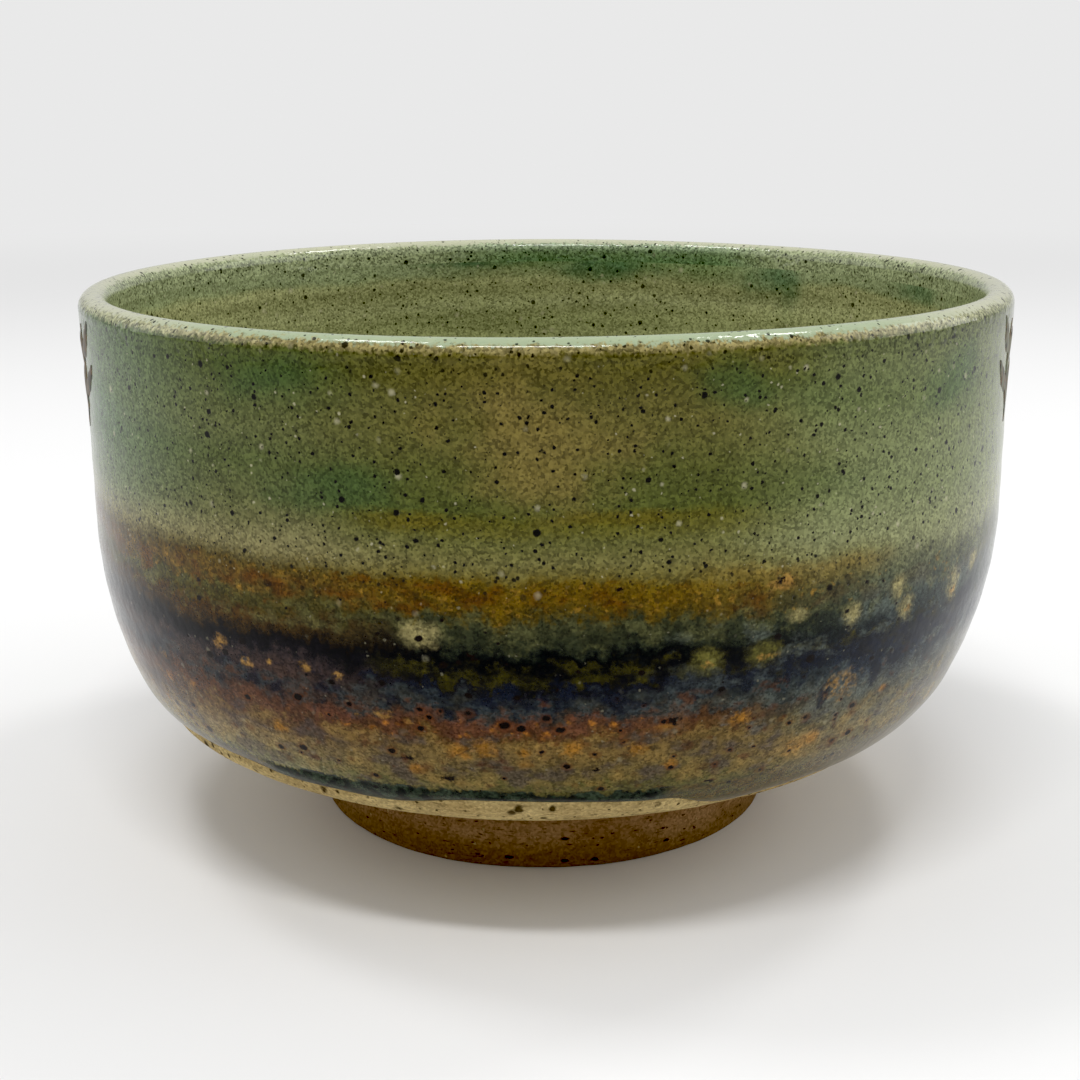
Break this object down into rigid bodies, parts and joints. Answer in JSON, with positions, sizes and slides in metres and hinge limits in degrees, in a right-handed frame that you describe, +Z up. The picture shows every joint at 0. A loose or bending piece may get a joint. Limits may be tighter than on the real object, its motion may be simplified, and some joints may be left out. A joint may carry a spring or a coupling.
{
  "type": "matcha bowl",
  "caption": "Deep round tea bowl with a near-upright wall, rounded hip and low ring foot, for whisking and drinking matcha.",
  "frame": {"origin": "centre of the foot ring's resting face", "axes": "+Z up along the bowl's axis of turning, out of its mouth; +X and -X face the two brushed sprigs, and -Y faces the front"},
  "size_m": [0.122, 0.122, 0.072],
  "materials": {
    "stoneware": "matte",
    "foot_stoneware": "matte",
    "celadon_glaze": "gloss",
    "rim_glaze": "gloss",
    "iron_glaze": "gloss",
    "teal_glaze": "gloss",
    "iron_slip": "satin"
  },
  "bodies": {
    "root": {"bowl_body": "stoneware", "foot_ring": "foot_stoneware", "inner_glaze": "celadon_glaze", "outer_glaze": "celadon_glaze", "rim_glaze": "rim_glaze", "lower_glaze": "iron_glaze", "glaze_roll": "teal_glaze", "left_sprig": "iron_slip", "right_sprig": "iron_slip"}
  },
  "joints": []
}
